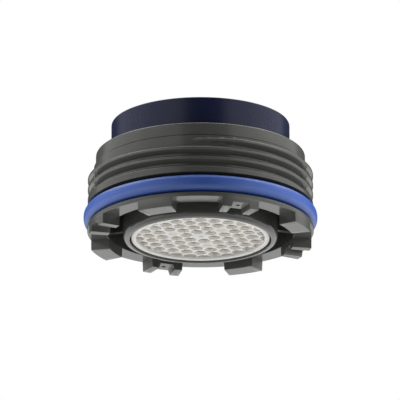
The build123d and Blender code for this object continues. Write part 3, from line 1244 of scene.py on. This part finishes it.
@dataclass
class Screen:
    """Navy filter screen with its hub.

    Attributes:
        radius: Outside of the rim.
        field_radius: Inside of the rim.
        bottom: Lower face.
        mesh_top: Upper face of the mesh.
        rim_top: Upper face of the rim.
        bottom_edge: Rounding of the lower edge.
        rim_edge: Rounding of the rim's upper edges.
        mesh_edge: Rounding where the mesh meets the rim.
        hub_radius: Radius of the hub.
        hub_top: Upper face of the hub.
        hub_edge: Rounding of the hub's upper edge.
        hub_sunk: How far the hub reaches into the mesh.
        hub_segments: Steps round the hub.
        pitch: Distance between neighbouring windows.
        bar: Width of the bars.
        field_margin: Ledge that trimmed windows would leave inside the rim.
    """

    radius: float = 7.65
    field_radius: float = 7.05
    bottom: float = 10.2
    mesh_top: float = 10.8
    rim_top: float = 11.2
    bottom_edge: float = 0.06
    rim_edge: float = 0.12
    mesh_edge: float = 0.1
    hub_radius: float = 1.1
    hub_top: float = 11.3
    hub_edge: float = 0.18
    hub_sunk: float = 0.2
    hub_segments: int = 48
    pitch: float = 1.95
    bar: float = 0.5
    field_margin: float = 0.05

    def build(self) -> None:
        """Makes the screen and hands it to the frame."""
        disc = Bench.turn("inlet_screen", (
            Corner(0, self.bottom),
            Corner(self.radius, self.bottom, self.bottom_edge),
            Corner(self.radius, self.rim_top, self.rim_edge),
            Corner(self.field_radius, self.rim_top, self.rim_edge),
            Corner(self.field_radius, self.mesh_top, self.mesh_edge),
            Corner(0, self.mesh_top),
        ))
        apothem = (self.pitch - self.bar) / 2
        CellPlate(pitch=self.pitch, wall=self.bar, direction=0.0, reach=self.field_radius - apothem,
                  field_radius=self.field_radius - self.field_margin, bottom=self.bottom, top=self.mesh_top,
                  clear_radius=self.hub_radius + apothem).cut(disc)
        foot = self.mesh_top - self.hub_sunk
        hub = Bench.turn("hub", (
            Corner(0, foot),
            Corner(self.hub_radius, foot),
            Corner(self.hub_radius, self.hub_top, self.hub_edge),
            Corner(0, self.hub_top),
        ), self.hub_segments)
        Bench.combine(disc, hub, Join.ADD)
        Bench.finish(disc, SCREEN_NAVY, "filter_screen")


def dress_nodes() -> None:
    """Gives the solids that show as they are their finishes."""
    finishes = {
        "mixing_grid_lower": GRID_WHITE,
        "mixing_grid_upper": GRID_WHITE,
        "regulator_body": REGULATOR_GREY,
        "regulator_ring": REGULATOR_RUBBER,
    }
    for name, finish in finishes.items():
        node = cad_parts[name]
        node.material_slots[0].material = finish.material()
        LOG.info("%s: %s", name, finish.name)


@dataclass(frozen=True)
class Surroundings:
    """White backdrop for the camera, and the soft light that stands round the object.

    A light fades in over a span of the direction's X, Y or Z, or of its depth, which is Z counted downwards.

    Attributes:
        level_start: Span of Z over which the side lights begin.
        level_end: Span of depth over which they end, higher up.
        front_start: Span against Y over which they end towards the back.
        right_start: Span of X of the right light.
        right_glow: Its strength.
        left_start: Span against X of the left light.
        left_glow: Its strength.
        low_start: Span of X squared of the low light on both sides.
        low_depth: Span of depth of that light.
        low_glow: Its strength.
        back_start: Span of Y of the light at the back.
        back_depth: Span of depth of that light.
        back_glow: Its strength.
        below_depth: Span of depth of the light from below.
        below_glow: Its strength.
        above_start: Span of Z of the light from above.
        above_back: Span of Y of that light.
        above_glow: Its strength.
        above_shine: What it gains in reflections.
        dim: Strength of the light from everywhere.
    """

    level_start: Span = (-0.55, -0.3)
    level_end: Span = (-0.75, -0.5)
    front_start: Span = (-0.72, -0.55)
    right_start: Span = (0.44, 0.56)
    right_glow: float = 0.6
    left_start: Span = (0.26, 0.38)
    left_glow: float = 0.5
    low_start: Span = (0.2, 0.5)
    low_depth: Span = (-0.02, 0.1)
    low_glow: float = 0.8
    back_start: Span = (0.1, 0.6)
    back_depth: Span = (-0.12, 0.05)
    back_glow: float = 0.8
    below_depth: Span = (0.2, 0.6)
    below_glow: float = 0.62
    above_start: Span = (0.5, 0.9)
    above_back: Span = (-0.4, 0.2)
    above_glow: float = 0.8
    above_shine: float = 2.5
    dim: float = 0.04

    WHITE = (1.0, 1.0, 1.0)

    def build(self) -> None:
        """Sets the world up."""
        world = bpy.data.worlds.new("studio")
        world.use_nodes = True
        bpy.context.scene.world = world
        sheet = NodeSheet(world.node_tree)
        place = sheet.node("ShaderNodeTexCoord")["Generated"]
        towards = sheet.node("ShaderNodeSeparateXYZ", {"Vector": place})
        across, along, up = (towards[part] for part in "XYZ")
        depth = 0 - up
        level = up.between(*self.level_start) * depth.between(*self.level_end)
        behind = along.between(*self.back_start) * depth.between(*self.back_depth)
        in_front = (0 - along).between(*self.front_start)
        right = across.between(*self.right_start) * in_front * level
        left = (0 - across).between(*self.left_start) * in_front * level
        low = (across * across).between(*self.low_start) * in_front * depth.between(*self.low_depth) * level
        below = depth.between(*self.below_depth)
        above = up.between(*self.above_start) * along.between(*self.above_back)
        ray = sheet.node("ShaderNodeLightPath")
        sides = behind * self.back_glow + right * self.right_glow + left * self.left_glow
        shine = above * (ray["Is Glossy Ray"] * self.above_shine + self.above_glow)
        glow = sides + low * self.low_glow + below * self.below_glow + shine + self.dim
        light, white = (sheet.node("ShaderNodeBackground", {"Color": self.WHITE, "Strength": strength})
                        for strength in (glow, 1.0))
        seen = ray["Is Camera Ray"] + (ray["Is Glossy Ray"] + ray["Is Transmission Ray"]) * behind
        shown = {0: seen, 1: light["Background"], 2: white["Background"]}
        mixed = sheet.node("ShaderNodeMixShader", shown)["Shader"]
        sheet.node("ShaderNodeOutputWorld", {"Surface": mixed})


@dataclass
class Studio:
    """Floor, light and camera.

    Attributes:
        floor_size: Side of the floor.
        floor_gap: How far the floor lies below the teeth.
        floor_colour: Colour of the floor.
        elevation: Height of the camera's view in degrees, negative from below.
        distance: Distance of the camera.
        picture_width: Width that the picture covers at the object.
        aim_height: Height of the point in the picture's middle.
        aim_side: Place of that point across the picture.
        sensor: Width of the camera's sensor.
        nearest: Distance at which the camera's view begins.
        lamp_distance: Distance of the two side lamps.
        lamp_size: Diameter of each lamp.
        lamp_height: Angle of the lamps above the floor.
        lamp_turn: Angle of the lamps from the camera's side, to either hand.
        left_lamp: Power of the left lamp.
        right_lamp: Power of the right lamp.
    """

    floor_size: float = 4000.0
    floor_gap: float = 0.05
    floor_colour: Colour = (0.86, 0.86, 0.86)
    elevation: float = -18.65
    distance: float = 1400.0
    picture_width: float = 39.0
    aim_height: float = 4.22
    aim_side: float = -0.045
    sensor: float = 36.0
    nearest: float = 10.0
    lamp_distance: float = 150.0
    lamp_size: float = 90.0
    lamp_height: float = 22.0
    lamp_turn: float = 86.0
    left_lamp: float = 0.21
    right_lamp: float = 0.27

    def floor(self) -> None:
        """Pale floor that shows from above and lets the view from below through."""
        Bench.clear()
        bpy.ops.mesh.primitive_plane_add(size=self.floor_size * METRES_PER_MM,
                                         location=(0, 0, -self.floor_gap * METRES_PER_MM))
        floor = bpy.context.object
        floor.name = "floor"
        material = bpy.data.materials.new("pale_floor")
        material.use_nodes = True
        sheet = NodeSheet(material.node_tree)
        below = sheet.node("ShaderNodeNewGeometry")["Backfacing"]
        pale = sheet.node("ShaderNodeBsdfDiffuse", {"Color": self.floor_colour})["BSDF"]
        clear = sheet.node("ShaderNodeBsdfTransparent")["BSDF"]
        mixed = sheet.node("ShaderNodeMixShader", {0: below, 1: pale, 2: clear})["Shader"]
        sheet.node("ShaderNodeOutputMaterial", {"Surface": mixed})
        floor.data.materials.append(material)
        floor.visible_diffuse = False
        floor.visible_glossy = False
        floor.visible_shadow = False

    def lamp(self, name: str, angle: float, power: float) -> None:
        """Soft side lamp, aimed at the object.

        Args:
            name: Name of the lamp.
            angle: Direction in which it stands.
            power: Its power in watts.
        """
        lean = math.radians(self.lamp_height)
        towards = polar(math.cos(lean), angle, math.sin(lean))
        data = bpy.data.lights.new(name, "AREA")
        data.shape = "DISK"
        data.size = self.lamp_size * METRES_PER_MM
        data.energy = power
        lamp = bpy.data.objects.new(name, data)
        bpy.context.scene.collection.objects.link(lamp)
        lamp.location = (towards * self.lamp_distance + Vector((0, 0, self.aim_height))) * METRES_PER_MM
        lamp.rotation_euler = towards.to_track_quat("Z", "Y").to_euler()
        lamp.visible_camera = False
        lamp.visible_glossy = False

    def camera(self) -> None:
        """Camera at the viewing angle, below the object."""
        lean = math.radians(self.elevation)
        aim = Vector((self.aim_side, 0, self.aim_height))
        back = Vector((0, -math.cos(lean), math.sin(lean)))
        data = bpy.data.cameras.new("camera")
        data.sensor_width = self.sensor
        data.lens = self.sensor * self.distance / self.picture_width
        data.clip_start = self.nearest * METRES_PER_MM
        camera = bpy.data.objects.new("camera", data)
        bpy.context.scene.collection.objects.link(camera)
        camera.location = (aim + back * self.distance) * METRES_PER_MM
        camera.rotation_euler = (-back).to_track_quat("-Z", "Y").to_euler()
        bpy.context.scene.camera = camera

    def build(self) -> None:
        """Sets the whole studio up."""
        self.floor()
        Surroundings().build()
        self.lamp("left_lamp", FRONT - self.lamp_turn, self.left_lamp)
        self.lamp("right_lamp", FRONT + self.lamp_turn, self.right_lamp)
        self.camera()
        bpy.context.scene.view_settings.view_transform = "Standard"


def main() -> None:
    """Builds every piece, dresses the rest and sets up the studio."""
    logging.basicConfig(level=logging.INFO, format="%(name)s %(message)s")
    Housing.from_frame().build()
    Seal().build()
    Outlet().build()
    InletCup().build()
    Screen().build()
    dress_nodes()
    Studio().build()


if __name__ == "__main__":
    main()
